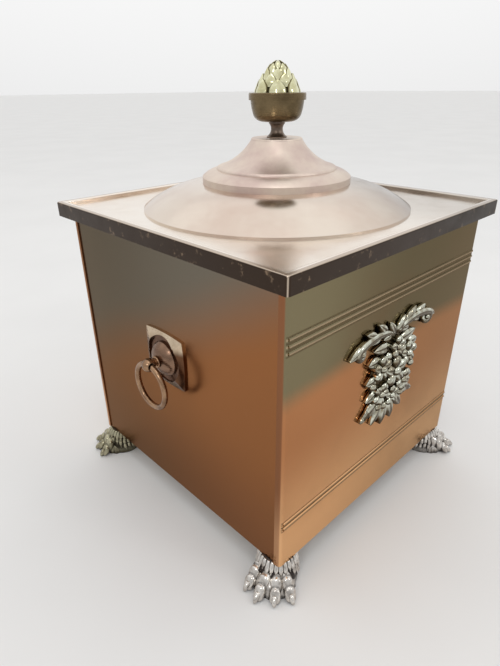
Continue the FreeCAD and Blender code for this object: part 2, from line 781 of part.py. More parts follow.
def finial_bud():
    """Cast bud: a pointed core covered with rows of overlapping scales."""
    foot = cup_recess_radius - bud_clearance
    core = foot * bud_core_share
    collar = bud_seat + cup_recess_depth
    tip = (foot * bud_tip_share, bud_seat + bud_height)
    shoulder = (core, collar)
    pieces = [turned((0, bud_seat), (foot, bud_seat), (foot, collar), shoulder,
                     (bowed_point(shoulder, tip, -bud_bulge_share), tip), (0, tip[1]))]
    rise = bud_height - cup_recess_depth
    for row, (count, radius_share, level_share, lean, size_share) in enumerate(scale_row_shares):
        for i in range(count):
            turn = 360 * (i + row / 2) / count
            pieces.append(leaf((core * radius_share, collar + rise * level_share), turn, lean, size_share))
    hole = Part.makeCylinder(stud_radius + thread_clearance, stud_depth, vec(0, 0, bud_seat))
    return joined(pieces).cut(hole)


def finial_stud():
    low = bell_top - sheet - washer_thickness - nut_height - shank_end
    return Part.makeCylinder(stud_radius, bud_seat + stud_depth - low, vec(0, 0, low))


def finial_washer():
    low = vec(0, 0, bell_top - sheet - washer_thickness)
    washer = Part.makeCylinder(washer_radius, washer_thickness, low)
    hole = Part.makeCylinder(stud_radius + shank_clearance, washer_thickness + 2 * overrun,
                             low - z_axis * overrun)
    return washer.cut(hole)


def finial_nut():
    seat = vec(0, 0, bell_top - sheet - washer_thickness)
    return hex_nut(nut_radius, nut_height, stud_radius + thread_clearance, seat, vec(0, 0, -1))


# Build

def export(name, shape):
    shape.exportStep("parts/" + name + ".step")
    print(name, len(shape.Solids), "valid" if shape.isValid() else "INVALID", round(shape.Volume))


def main():
    os.makedirs("parts", exist_ok=True)
    export("front_panel", front_panel())
    export("back_panel", folded_panel(1))
    export("left_side_panel", side_panel(-1))
    export("right_side_panel", side_panel(1))
    export("base_tray", base_tray())
    export("mouth_band", mouth_band())
    export("liner", liner())
    foot = paw()
    for name, signs in corner_signs.items():
        export("paw_" + name, placed_paw(foot, signs))
    export("foot_screws", foot_screws())
    for name, sign in (("left", -1), ("right", 1)):
        export("handle_plate_" + name, handle_plate(sign))
        export("handle_boss_" + name, handle_boss(sign))
        export("handle_post_" + name, handle_post(sign))
        export("handle_ring_" + name, handle_ring(sign))
    export("handle_washers", handle_washers())
    export("handle_nuts", handle_nuts())
    export("crest_mount", crest_mount())
    export("crest_nuts", crest_nuts())
    export("lid_plate", lid_plate())
    export("lid_frame", lid_frame())
    export("lid_dome", lid_dome())
    export("lid_bell", lid_bell())
    export("finial_stem", finial_stem())
    export("finial_cup", finial_cup())
    export("finial_bud", finial_bud())
    export("finial_stud", finial_stud())
    export("finial_washer", finial_washer())
    export("finial_nut", finial_nut())


main()
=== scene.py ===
import json
import math

import bmesh
import bpy
import numpy as np
from mathutils import Matrix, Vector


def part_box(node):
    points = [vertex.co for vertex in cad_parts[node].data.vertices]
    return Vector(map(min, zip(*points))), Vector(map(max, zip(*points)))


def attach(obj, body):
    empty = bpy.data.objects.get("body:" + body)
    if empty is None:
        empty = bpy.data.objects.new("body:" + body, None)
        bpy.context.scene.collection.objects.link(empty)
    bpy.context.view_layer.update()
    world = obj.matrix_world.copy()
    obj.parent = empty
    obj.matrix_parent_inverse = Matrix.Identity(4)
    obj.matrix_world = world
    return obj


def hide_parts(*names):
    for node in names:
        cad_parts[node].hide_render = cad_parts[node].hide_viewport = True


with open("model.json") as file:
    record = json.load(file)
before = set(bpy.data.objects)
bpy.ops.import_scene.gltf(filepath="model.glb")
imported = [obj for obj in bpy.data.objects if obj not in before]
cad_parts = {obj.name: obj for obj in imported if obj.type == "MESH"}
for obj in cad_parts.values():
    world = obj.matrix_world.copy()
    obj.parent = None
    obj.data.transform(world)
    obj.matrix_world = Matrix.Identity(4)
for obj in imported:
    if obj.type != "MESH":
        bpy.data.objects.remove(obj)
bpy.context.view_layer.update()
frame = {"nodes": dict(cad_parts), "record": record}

nodes = frame["nodes"]
mounts = {m["name"]: m["pos_m"] for m in frame["record"]["mounts"]}


# Mesh helpers: every shape is a stack of closed rings, worked out as whole arrays

def smooth(edge0, edge1, value):
    # eased step from 0 at edge0 to 1 at edge1: three t squared less two t cubed
    t = np.clip((value - edge0) / (edge1 - edge0), 0, 1)
    return t * t * (3 - 2 * t)


def fullTurn(steps):
    # angles of a closed ring, without the repeated last one
    return np.linspace(0, 2 * np.pi, steps, endpoint=False)


def newStore():
    # gathers rings until makePiece turns them into one mesh
    return {"points": [], "faces": [], "hollow": [], "count": 0}


def addRings(store, rings, hollow):
    # skin from ring to ring, with a fan to the mean point at each end; the last argument is painted shade, 0 to 1
    rows, cols = rings.shape[:2]
    start = store["count"]
    ends = np.stack([rings[0].mean(0), rings[-1].mean(0)])
    i, j = np.meshgrid(np.arange(rows - 1), np.arange(cols), indexing="ij")
    k = (j + 1) % cols
    quads = np.stack([i * cols + j, i * cols + k, (i + 1) * cols + k, (i + 1) * cols + j], -1).reshape(-1, 4)
    ring = np.arange(cols)
    nextOne = (ring + 1) % cols
    first, last = rows * cols, rows * cols + 1
    low = np.stack([nextOne, ring, np.full(cols, first)], -1)
    top = (rows - 1) * cols
    high = np.stack([top + ring, top + nextOne, np.full(cols, last)], -1)
    store["points"].append(np.concatenate([rings.reshape(-1, 3), ends]))
    store["faces"] += (quads + start).tolist() + (low + start).tolist() + (high + start).tolist()
    shade = np.broadcast_to(np.asarray(hollow, float), (rows, cols)).reshape(-1)
    store["hollow"].append(np.concatenate([shade, [shade[:cols].mean(), shade[-cols:].mean()]]))
    store["count"] += rows * cols + 2


underSide = (0.30, -0.45)  # upward share of a normal where the painted shade on under sides starts, and where it is full


def makePiece(name, store, material, body, replaced, underShade):
    # one mesh of all rings, faces outwards, with their painted shade in a point attribute
    mesh = bpy.data.meshes.new(name)
    mesh.from_pydata(np.concatenate(store["points"]).tolist(), [], store["faces"])
    work = bmesh.new()
    work.from_mesh(mesh)
    bmesh.ops.recalc_face_normals(work, faces=work.faces)
    work.to_mesh(mesh)
    work.free()
    # painted shade in the hollows of the shape, and painted shade on its under sides, scaled by the last argument
    facing = np.zeros(3 * len(mesh.vertices), np.float32)
    mesh.vertex_normals.foreach_get("vector", facing)
    under = smooth(*underSide, facing.reshape(-1, 3)[:, 2])
    shade = mesh.attributes.new("hollow", "FLOAT", "POINT")
    darkening = np.clip(np.concatenate(store["hollow"]) + underShade * under, 0, 1)
    shade.data.foreach_set("value", darkening.astype(np.float32))
    mesh.shade_smooth()
    mesh.materials.append(material)
    piece = bpy.data.objects.new(name, mesh)
    bpy.context.scene.collection.objects.link(piece)
    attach(piece, body)
    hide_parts(*replaced)
    print("piece:", name, len(mesh.polygons), "faces")


def sweep(path, side, radius, sides, wide=1.0):
    # ring at each path point: side vector times cosine, plus the vector square to side and path times sine
    tangent = np.gradient(path, axis=0)
    tangent /= np.linalg.norm(tangent, axis=1, keepdims=True) + 1e-12
    side = np.broadcast_to(np.asarray(side, float), path.shape)
    up = np.cross(side, tangent)
    up /= np.linalg.norm(up, axis=1, keepdims=True) + 1e-12
    turn = fullTurn(sides)
    size = radius[:, None]
    return (path[:, None, :] + (size * wide * np.cos(turn))[..., None] * side[:, None, :]
            + (size * np.sin(turn))[..., None] * up[:, None, :])


# Materials: all on Object coordinates and the attribute of painted shade

noiseSpan = (0.3, 0.7)  # levels between which most of a noise lies


def shader(name, metallic=1.0, roughness=0.3):
    # new material with its Object coordinates
    material = bpy.data.materials.new(name)
    material.use_nodes = True
    tree = material.node_tree
    principled = tree.nodes["Principled BSDF"]
    principled.inputs["Metallic"].default_value = metallic
    principled.inputs["Roughness"].default_value = roughness
    coords = tree.nodes.new("ShaderNodeTexCoord")
    return material, tree, principled, coords.outputs["Object"]


def math2(tree, kind, a, b=0.5):
    # sum, product or the like of two values; b is idle where the kind takes one
    node = tree.nodes.new("ShaderNodeMath")
    node.operation = kind
    for place, value in enumerate((a, b)):
        if isinstance(value, (int, float)):
            node.inputs[place].default_value = value
        else:
            tree.links.new(value, node.inputs[place])
    return node.outputs[0]


def ramp(tree, value, low, high, outLow=0.0, outHigh=1.0):
    # eased step from outLow at low to outHigh at high
    node = tree.nodes.new("ShaderNodeMapRange")
    node.interpolation_type = "SMOOTHSTEP"
    tree.links.new(value, node.inputs[0])
    for place, number in enumerate((low, high, outLow, outHigh), 1):
        node.inputs[place].default_value = number
    return node.outputs[0]


def noise(tree, coords, scale, detail, rough=0.55, stretch=None):
    # scale is per metre; stretch squeezes the pattern along each axis
    if stretch:
        mapping = tree.nodes.new("ShaderNodeMapping")
        mapping.inputs["Scale"].default_value = stretch
        tree.links.new(coords, mapping.inputs["Vector"])
        coords = mapping.outputs[0]
    node = tree.nodes.new("ShaderNodeTexNoise")
    node.inputs["Scale"].default_value = scale
    node.inputs["Detail"].default_value = detail
    node.inputs["Roughness"].default_value = rough
    tree.links.new(coords, node.inputs["Vector"])
    return node.outputs["Fac"]


def patches(tree, coords, scale, detail, rough, *steps):
    # noise pushed to patches: steps are its two levels, then the amounts there if not 0 and 1
    return ramp(tree, noise(tree, coords, scale, detail, rough), *steps)


def mixColour(tree, factor, a, b):
    # colour a at factor 0, b at 1; either may be a fixed colour
    node = tree.nodes.new("ShaderNodeMix")
    node.data_type = "RGBA"
    tree.links.new(factor, node.inputs[0])
    for place, value in ((6, a), (7, b)):
        if isinstance(value, tuple):
            node.inputs[place].default_value = (*value, 1.0)
        else:
            tree.links.new(value, node.inputs[place])
    return node.outputs[2]


def split(tree, coords):
    node = tree.nodes.new("ShaderNodeSeparateXYZ")
    tree.links.new(coords, node.inputs[0])
    return node.outputs


def dimmed(tree, tone, factor):
    # tone times factor
    node = tree.nodes.new("ShaderNodeVectorMath")
    node.operation = "SCALE"
    tree.links.new(tone, node.inputs[0])
    tree.links.new(factor, node.inputs["Scale"])
    return node.outputs[0]


def setLook(tree, principled, tone, rough):
    tree.links.new(tone, principled.inputs["Base Color"])
    tree.links.new(rough, principled.inputs["Roughness"])


def bump(tree, principled, height, depth, strength):
    node = tree.nodes.new("ShaderNodeBump")
    node.inputs["Strength"].default_value = strength
    node.inputs["Distance"].default_value = depth
    tree.links.new(height, node.inputs["Height"])
    tree.links.new(node.outputs[0], principled.inputs["Normal"])


# In the looks below, clouds and specks give a noise's size per metre, detail and roughness, its two levels and
# the amounts there; depth is a bump's depth and strength

bodyLook = {
    # tones from the foot up, painted reflections of a warm surface below and a dull room above, heights where they
    # change, tilt of the upper line, and the painted shade that fades along an axis
    "front": {"low": (0.84, 0.49, 0.25), "mid": (0.470, 0.207, 0.090), "high": (0.215, 0.183, 0.107),
              "rise": (0.06, 0.19), "turn": (0.198, 0.224), "tilt": 0.0, "fade": ("x", -0.13, 0.12, 0.64),
              "shadow": (-0.145, 0.02, 0.62), "rough": (0.13, 0.20),
              # painted shade on the side-facing strip of the folds: lower and upper tone, levels, and where a
              # corner turns
              "fold": ((0.50, 0.27, 0.145), (0.26, 0.112, 0.054), (0.06, 0.13), (-0.0005, 0.0015)),
              # painted highlights on the ridges and painted shade in the grooves: highest reed, reeds, ridge and
              # groove colours
              "reeds": ((0.2670, 3, (0.37, 0.285, 0.185), (0.120, 0.092, 0.052)),
                        (0.0833, 2, (0.34, 0.215, 0.115), (0.170, 0.118, 0.060)))},
    # the sides: one brass with the front, given darker tones painted as shade
    "side": {"low": (0.235, 0.097, 0.043), "mid": (0.310, 0.126, 0.048), "high": (0.170, 0.150, 0.119),
             "rise": (0.05, 0.18), "turn": (0.176, 0.272), "tilt": 0.5, "fade": ("y", -0.10, 0.12, 0.57),
             "rough": (0.21, 0.25)},
    "stain": (0.17, 0.080, 0.038), "edgeTint": (0.92, 0.80, 0.68),
    "cloud": (8.0, 5.0, 0.55, 0.48, 0.85, 0.0, 0.35), "fleck": (240.0, 3.0, 0.55, 0.70, 0.78, 0.0, 0.3),
    # waver of the tone lines: size per metre, detail and height
    "waver": (5.0, 2.0, 0.03), "marks": (60.0, 4.0, 0.6, (1.0, 1.0, 9.0)), "ripple": (9.0, 1.0),
    "depth": (0.0005, 0.08),
    # reeds: spacing, soft share of it at the ends, front face, and the cosine in the grooves and on the ridges
    "pitch": 0.0058, "soft": 0.1, "face": (-0.1536, -0.1532), "grooveAt": (-0.1, -0.8), "ridgeAt": (0.35, 0.9),
}


def bodyBrass(name, look):
    # rolled sheet: painted reflection, orange-brown below and olive towards the lid, parted by a wavering line,
    # with soft brown stains
    material, tree, principled, coords = shader(name)
    x, y, z = split(tree, coords)
    size, detail, sway = bodyLook["waver"]
    height = math2(tree, "ADD", z, math2(tree, "MULTIPLY", noise(tree, coords, size, detail), sway))
    warm = mixColour(tree, ramp(tree, height, *look["rise"]), look["low"], look["mid"])
    top = look["high"]
    if "shadow" in look:
        start, end, left = look["shadow"]
        top = mixColour(tree, ramp(tree, x, start, end), top, tuple(left * part for part in top))
    line = math2(tree, "ADD", height, math2(tree, "MULTIPLY", y, look["tilt"]))
    # a noise is a half on average, so the waver lifts the line by half of its height
    turn = [level + 0.5 * sway for level in look["turn"]]
    tone = mixColour(tree, ramp(tree, line, *turn), warm, top)
    # painted shade where a fold turns to face sideways
    if "fold" in look:
        lower, upper, levels, corner = look["fold"]
        across = math2(tree, "SUBTRACT", math2(tree, "ABSOLUTE", x), math2(tree, "ABSOLUTE", y))
        strip = mixColour(tree, ramp(tree, z, *levels), lower, upper)
        tone = mixColour(tree, ramp(tree, across, *corner), tone, strip)
    for stain in ("cloud", "fleck"):
        tone = mixColour(tree, patches(tree, coords, *bodyLook[stain]), tone, bodyLook["stain"])
    pitch = bodyLook["pitch"]
    soft = bodyLook["soft"] * pitch
    # painted highlight along each reed's ridge and painted shade in its grooves
    for level, count, ridge, groove in look.get("reeds", ()):
        # cosine of the height over the reed pitch: one on a ridge, minus one in a groove
        phase = math2(tree, "MULTIPLY", math2(tree, "SUBTRACT", z, level), 2 * math.pi / pitch)
        wave = math2(tree, "COSINE", phase)
        base, crown = level - (count - 0.5) * pitch, level + 0.5 * pitch
        above = ramp(tree, z, base - soft, base + soft)
        below = ramp(tree, z, crown - soft, crown + soft, 1.0, 0.0)
        facing = ramp(tree, y, *bodyLook["face"], 1.0, 0.0)
        inside = math2(tree, "MULTIPLY", math2(tree, "MULTIPLY", above, below), facing)
        for span, colour in ((bodyLook["grooveAt"], groove), (bodyLook["ridgeAt"], ridge)):
            tone = mixColour(tree, math2(tree, "MULTIPLY", ramp(tree, wave, *span), inside), tone, colour)
    # painted shade: the tone dims along one axis
    axis, start, end, left = look["fade"]
    tone = dimmed(tree, tone, ramp(tree, x if axis == "x" else y, start, end, 1.0, left))
    marks = noise(tree, coords, *bodyLook["marks"])
    setLook(tree, principled, tone, ramp(tree, marks, *noiseSpan, *look["rough"]))
    principled.inputs["Specular Tint"].default_value = (*bodyLook["edgeTint"], 1.0)
    bump(tree, principled, noise(tree, coords, *bodyLook["ripple"]), *bodyLook["depth"])
    return material


lidLook = {
    # two tones of each part and the size of their clouds per metre
    "dome": ((0.74, 0.65, 0.56), (0.64, 0.51, 0.43), 9.0),
    "bell": ((0.75, 0.645, 0.55), (0.57, 0.43, 0.39), 17.0),
    "plate": ((0.90, 0.83, 0.745), (0.83, 0.725, 0.625), 7.0),
    "cloud": (5.0, 0.6, 0.35, 0.75),
    # painted shade: each part dims along x from the first place to the second, down to the last share
    "fade": {"dome": (-0.03, 0.09, 0.44), "bell": (0.0, 0.08, 0.80), "plate": (-0.02, 0.12, 0.68)},
    "rough": {"dome": (0.15, 0.27), "bell": (0.40, 0.50), "plate": (0.15, 0.27)},
    "marks": (46.0, 4.0, 0.6, 0.3, 0.75), "ripple": (14.0, 2.0), "depth": (0.0006, 0.25),
    # distances from the axis: line of the rim with its tone, and the skirt
    "rim": (0.1602, 0.1608, (0.54, 0.44, 0.35)), "edge": (0.1642, 0.1647),
    "dark": (0.050, 0.034, 0.025), "worn": (0.32, 0.225, 0.15), "speck": (95.0, 6.0, 0.7, 0.57, 0.70, 0.0, 0.75),
    "skirtRough": 0.16,
}


def lidBrass(name, part):
    # polished sheet with a rose tint and painted shade darkening it along x; the skirt of the lid is black-brown
    # with worn specks
    material, tree, principled, coords = shader(name)
    light, rose, size = lidLook[part]
    tone = mixColour(tree, patches(tree, coords, size, *lidLook["cloud"]), light, rose)
    rough = patches(tree, coords, *lidLook["marks"], *lidLook["rough"][part])
    x, y = split(tree, coords)[:2]
    if part == "plate":
        reach = math2(tree, "MAXIMUM", math2(tree, "ABSOLUTE", x), math2(tree, "ABSOLUTE", y))
        rimIn, rimOut, rimTone = lidLook["rim"]
        tone = mixColour(tree, ramp(tree, reach, rimIn, rimOut), tone, rimTone)
        skirt = ramp(tree, reach, *lidLook["edge"])
        darkening = mixColour(tree, patches(tree, coords, *lidLook["speck"]), lidLook["dark"], lidLook["worn"])
        tone = mixColour(tree, skirt, tone, darkening)
        rough = math2(tree, "ADD", rough, math2(tree, "MULTIPLY", skirt, lidLook["skirtRough"]))
    # painted shade along x
    start, end, left = lidLook["fade"][part]
    setLook(tree, principled, dimmed(tree, tone, ramp(tree, x, start, end, 1.0, left)), rough)
    bump(tree, principled, noise(tree, coords, *lidLook["ripple"]), *lidLook["depth"])
    return material


castLook = {
    # speckle is what the specks of dirt add to the painted shade, spread the darkening from the first dark to full
    # dark
    "patch": (120.0, 4.0, 0.6, 0.35, 0.7), "speck": (260.0, 3.0), "speckle": 0.14, "spread": 0.55,
    "rough": (0.1, 0.9, 0.13, 0.42), "grain": (420.0, 3.0), "depth": (0.0003, 0.12),
}


def castBrass(name, bright, mid, dark, edge):
    # polished casting: bright and middle tones in patches, dark where the painted shade of the attribute plus
    # specks of dirt passes edge
    material, tree, principled, coords = shader(name)
    attribute = tree.nodes.new("ShaderNodeAttribute")
    attribute.attribute_name = "hollow"
    tone = mixColour(tree, patches(tree, coords, *castLook["patch"]), bright, mid)
    speck = math2(tree, "MULTIPLY", noise(tree, coords, *castLook["speck"]), castLook["speckle"])
    darkening = math2(tree, "ADD", attribute.outputs["Fac"], speck)
    tone = mixColour(tree, ramp(tree, darkening, edge, edge + castLook["spread"]), tone, dark)
    setLook(tree, principled, tone, ramp(tree, darkening, *castLook["rough"]))
    bump(tree, principled, noise(tree, coords, *castLook["grain"]), *castLook["depth"])
    return material


turnedLook = {
    "cloud": (55.0, 5.0, 0.6, 0.35, 0.72), "rings": (30.0, 3.0, 0.6, (1.0, 1.0, 40.0)), "spread": 0.14,
    "depth": (0.0002, 0.3),
}


def turnedBrass(name, light, dark, rough):
    # lathe-turned and browned: fine rings up the axis, stains in clouds
    material, tree, principled, coords = shader(name)
    tone = mixColour(tree, patches(tree, coords, *turnedLook["cloud"]), light, dark)
    rings = noise(tree, coords, *turnedLook["rings"])
    setLook(tree, principled, tone, ramp(tree, rings, *noiseSpan, rough, rough + turnedLook["spread"]))
    bump(tree, principled, rings, *turnedLook["depth"])
    return material


plateLook = {
    # height of the post, edge of the dish, and where the upper bevels start above the post
    "level": 0.193, "dish": (0.0240, 0.0250), "upper": (0.011, 0.020),
    "bright": ((0.70, 0.57, 0.42), (0.50, 0.37, 0.25)), "floor": ((0.15, 0.070, 0.036), (0.085, 0.042, 0.023)),
    "cloud": (60.0, 5.0, 0.6, 0.35, 0.72), "marks": (90.0, 4.0, 0.6), "rough": (0.14, 0.28),
    "depth": (0.0002, 0.15),
}


def plateBrass(name):
    # handle plate: painted highlight on the upper bevels, painted dark brown elsewhere as shade and reflection,
    # told apart by the distance from the post
    material, tree, principled, coords = shader(name)
    y, z = split(tree, coords)[1:]
    height = math2(tree, "SUBTRACT", z, plateLook["level"])
    square = math2(tree, "ADD", math2(tree, "MULTIPLY", y, y), math2(tree, "MULTIPLY", height, height))
    reach = math2(tree, "SQRT", square)
    # painted highlight: the upper bevels outside the dish, above the post
    upper = math2(tree, "MULTIPLY", ramp(tree, reach, *plateLook["dish"]), ramp(tree, height, *plateLook["upper"]))
    cloud = patches(tree, coords, *plateLook["cloud"])
    floor, bright = (mixColour(tree, cloud, *plateLook[part]) for part in ("floor", "bright"))
    marks = noise(tree, coords, *plateLook["marks"])
    rough = ramp(tree, marks, *noiseSpan, *plateLook["rough"])
    setLook(tree, principled, mixColour(tree, upper, floor, bright), rough)
    bump(tree, principled, marks, *plateLook["depth"])
    return material


plainLook = {"cloud": (18.0, 6.0, 0.65, 0.35, 0.7), "grain": (300.0, 3.0), "spread": 0.15, "depth": (0.0003, 0.25)}


def plainFinish(name, light, dark, rough, metallic):
    # inner sheet, paint and fasteners: two tones in clouds, with a fine grain
    material, tree, principled, coords = shader(name, metallic)
    tone = mixColour(tree, patches(tree, coords, *plainLook["cloud"]), light, dark)
    grain = noise(tree, coords, *plainLook["grain"])
    setLook(tree, principled, tone, ramp(tree, grain, *noiseSpan, rough, rough + plainLook["spread"]))
    bump(tree, principled, grain, *plainLook["depth"])
    return material


# castings: bright, middle and dark tones, and the darkening from painted shade and specks where the dark starts;
# turned and plain: two tones and
# the roughness, and for plain whether it is metal
finishes = {
    "front": bodyBrass("frontBrass", bodyLook["front"]),
    "side": bodyBrass("sideBrass", bodyLook["side"]),
    "dome": lidBrass("domeBrass", "dome"),
    "bell": lidBrass("bellBrass", "bell"),
    "plate": lidBrass("lidPlateBrass", "plate"),
    "crest": castBrass("crestBrass", (0.68, 0.70, 0.60), (0.29, 0.25, 0.17), (0.090, 0.064, 0.036), 0.15),
    "paw": castBrass("pawBrass", (0.78, 0.745, 0.70), (0.43, 0.395, 0.36), (0.055, 0.046, 0.042), 0.22),
    "pawShaded": castBrass("pawShadedBrass", (0.46, 0.43, 0.30), (0.24, 0.215, 0.14), (0.045, 0.038, 0.026), 0.22),
    "bud": castBrass("budBrass", (0.78, 0.77, 0.52), (0.56, 0.53, 0.31), (0.17, 0.145, 0.07), 0.3),
    "cup": turnedBrass("cupBrass", (0.19, 0.138, 0.074), (0.10, 0.072, 0.038), 0.2),
    "stem": turnedBrass("stemBrass", (0.24, 0.185, 0.145), (0.10, 0.075, 0.06), 0.28),
    "handle": turnedBrass("handleBrass", (0.38, 0.235, 0.14), (0.18, 0.105, 0.065), 0.15),
    "boss": turnedBrass("bossBrass", (0.27, 0.165, 0.110), (0.125, 0.072, 0.050), 0.2),
    "handlePlate": plateBrass("handlePlateBrass"),
    "inner": plainFinish("innerBrass", (0.42, 0.29, 0.15), (0.28, 0.18, 0.09), 0.4, 1.0),
    "liner": plainFinish("blackPaint", (0.035, 0.035, 0.038), (0.018, 0.018, 0.02), 0.45, 0.0),
    "steel": plainFinish("steelFastener", (0.42, 0.41, 0.39), (0.27, 0.26, 0.24), 0.35, 1.0),
}
nodeFinish = {
    "front": ["front_panel", "back_panel"], "side": ["left_side_panel", "right_side_panel"],
    "dome": ["lid_dome"], "bell": ["lid_bell"], "plate": ["lid_plate"],
    "cup": ["finial_cup"], "stem": ["finial_stem"],
    "handle": [n for n in nodes if n.startswith(("handle_post", "handle_ring"))],
    "boss": [n for n in nodes if n.startswith("handle_boss")],
    "handlePlate": ["handle_plate_left", "handle_plate_right"],
    "inner": ["base_tray", "mouth_band", "lid_frame"], "liner": ["liner"],
    "steel": ["foot_screws", "handle_washers", "handle_nuts", "crest_nuts", "finial_stud", "finial_washer",
              "finial_nut"],
    "paw": [n for n in nodes if n.startswith("paw_")], "crest": ["crest_mount"], "bud": ["finial_bud"],
}
for finish, members in nodeFinish.items():
    for member in members:
        nodes[member].data.materials.clear()
        nodes[member].data.materials.append(finishes[finish])
print("finishes:", len(finishes))


# Finial bud

bud = {
    # outline: heights above the rim of the cup, and the girth there
    "levels": (0.0, 0.0025, 0.009, 0.015, 0.021, 0.025, 0.0274),
    "girths": (0.0222, 0.0216, 0.0184, 0.0140, 0.0098, 0.0056, 0.0008),
    # each row of scales: count, foot, height and half width
    "rows": ((7, -0.0012, 0.0125, 0.0094), (7, 0.0046, 0.0116, 0.0083), (6, 0.0100, 0.0106, 0.0074),
             (5, 0.0152, 0.0092, 0.0060), (3, 0.0198, 0.0074, 0.0044)),
    # thickness of a scale, how far its tip stands off, height and width of its rib, turn of the rows
    "thick": 0.0030, "stand": 0.0021, "rib": (0.16, 0.16), "facing": -2.39,
    # depths inside the outline: the core, and the root of a scale with its tuck under the row below
    "core": 0.0030, "root": (0.0022, 0.0026),
    # foot in the cup as a share of the node's reach, and painted shade on under sides
    "foot": 0.985, "underShade": 0.1,
}


def buildBud():
    # scale: pointed arch laid on the bud's outline, pillowed with a middle rib, its tip standing off the next row
    store = newStore()
    low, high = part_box("finial_bud")
    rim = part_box("finial_cup")[1].z
    turn = fullTurn(64)
    rise = np.linspace(0, bud["levels"][-1], 30)
    level = np.concatenate([[low.z - rim, 0.0], rise])
    foot = bud["foot"] * high.x
    inner = np.clip(np.interp(rise, bud["levels"], bud["girths"]) - bud["core"], 0.0003, 1)
    girth = np.concatenate([[foot, foot], inner])
    core = np.stack([girth[:, None] * np.cos(turn), girth[:, None] * np.sin(turn),
                     rim + np.repeat(level[:, None], len(turn), 1)], -1)
    # core painted dark as shade between the scales
    addRings(store, core, 0.8)
    v = np.linspace(0, 1, 26)[:, None]
    phi = fullTurn(32)[None, :]
    ribHigh, ribWide = bud["rib"]
    face = np.abs(np.sin(phi)) ** 0.75 + ribHigh * np.exp(-(np.cos(phi) / ribWide) ** 2)
    pillow = np.where(np.sin(phi) > 0, face, -0.4 * np.abs(np.sin(phi)))
    # painted shade along the edges of each scale
    shade = 0.9 * smooth(0.70, 0.98, np.abs(np.cos(phi)))
    root, tuck = bud["root"]
    for row, (count, start, tall, half) in enumerate(bud["rows"]):
        z = start + tall * v
        width = half * np.cos(0.5 * np.pi * np.clip(v, 0, 0.99) ** 1.25) ** 0.9
        base = np.interp(np.clip(z, 0, None), bud["levels"], bud["girths"])
        under = tuck * (1 - v) ** 2 * (row > 0)
        out = base - root - under + bud["stand"] * v ** 1.5 + bud["thick"] * (1 - 0.5 * v) * pillow
        across = width * np.cos(phi)
        for i in range(count):
            angle = 2 * np.pi * (i + 0.5 * (row % 2)) / count + bud["facing"] + across / np.maximum(base, 0.004)
            addRings(store, np.stack([out * np.cos(angle), out * np.sin(angle), rim + z + 0 * across], -1), shade)
    makePiece("budCasting", store, finishes["bud"], "lid", ["finial_bud"], bud["underShade"])


buildBud()


# Paw feet

paw = {
    # foot body: height, turn from the diagonal in degrees, radius at the top, and what its swell adds
    "height": 0.031, "turn": 13.0, "top": 0.0163, "longer": 0.0040, "wider": 0.0042, "ahead": 0.0045, "swell": 0.62,
    # each toe: first knuckle and claw tip, mm from the ankle axis, the foot pointing along x
    "toes": (((16.5, -18.6), (31.0, -26.0)), ((23.4, -7.8), (41.0, -14.0)), ((24.6, 3.4), (40.8, 4.4)),
             ((21.6, 13.2), (34.0, 21.2))),
    # back from the tip in mm: top line and half width, drawn for a toe of this length
    "back": (2.6, 3.4, 5.2, 8.0, 11.0, 14.5, 18.0, 23.0, 29.0),
    "crown": (4.0, 6.6, 9.2, 13.2, 14.0, 19.3, 20.0, 23.0, 26.5),
    "half": (1.6, 4.0, 5.1, 5.8, 5.2, 6.1, 5.6, 5.2, 4.6), "drawn": 16.0,
    # creases: place, spread and darkness of the painted shade in them; an outer toe has its tip this far from the
    # middle line
    "creases": ((11.0, 1.2, 0.5), (18.4, 1.5, 0.5)), "outer": 18.0,
    # claw: start behind the tip, height there, radius, and height of its end
    "claw": (6.0, 7.0, 3.3, 1.4),
    # rows of fur: locks, top and end as shares of the height, radius, and bare degrees each side of the front
    "locks": ((27, 1.0, 0.50, 2.4, 0), (26, 0.76, 0.30, 2.4, 60), (25, 0.50, 0.10, 2.2, 84)),
    # pad under the toes: middle, half length, half width and height, mm; folds of its wrinkles, and painted shade
    # on under sides
    "pad": (12.0, -1.5, 21.5, 21.5, 18.0), "wrinkles": 17, "underShade": 0.4,
}


def moundPoint(angle, level):
    # foot body: near-round section that swells forwards and sideways towards the floor
    bulge = np.sin(paw["swell"] * np.pi * (1 - level / paw["height"]))
    x = paw["ahead"] * bulge + (paw["top"] + paw["longer"] * bulge) * np.cos(angle)
    y = (paw["top"] + paw["wider"] * bulge) * np.sin(angle)
    return np.stack(np.broadcast_arrays(x, y, level), -1)


def softLine(at, places, values):
    # straight runs through the values, their corners rounded by a short bell-shaped average
    blur = np.hanning(9) / np.hanning(9).sum()
    line = np.pad(np.interp(at, places, values), len(blur) // 2, "edge")
    return np.convolve(line, blur, "valid")[:, None]


